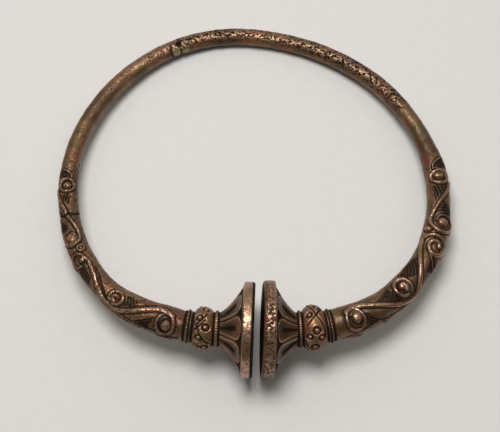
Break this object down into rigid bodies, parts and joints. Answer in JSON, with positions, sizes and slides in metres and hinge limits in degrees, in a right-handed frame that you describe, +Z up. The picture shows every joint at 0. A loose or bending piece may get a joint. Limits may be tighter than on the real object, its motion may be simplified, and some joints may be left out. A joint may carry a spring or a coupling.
{
  "type": "buffer torc",
  "caption": "Open bronze neck ring with facing disc terminals, petalled cones, beads and raised spiral scrolls on both arms, a plain rod at the back.",
  "frame": {"origin": "under the middle of the bounding box, on the surface the torc lies on", "axes": "+Z up, +X across the wearer's neck to the right-hand arm, +Y from the gap between the discs to the back of the hoop"},
  "size_m": [0.1492, 0.1462, 0.0348],
  "materials": {
    "bronze": "old cast bronze, brown patina dark in the hollows and rubbed bright coppery on the ridges, pitted"
  },
  "bodies": {
    "root": {"torc": "bronze"}
  },
  "joints": []
}
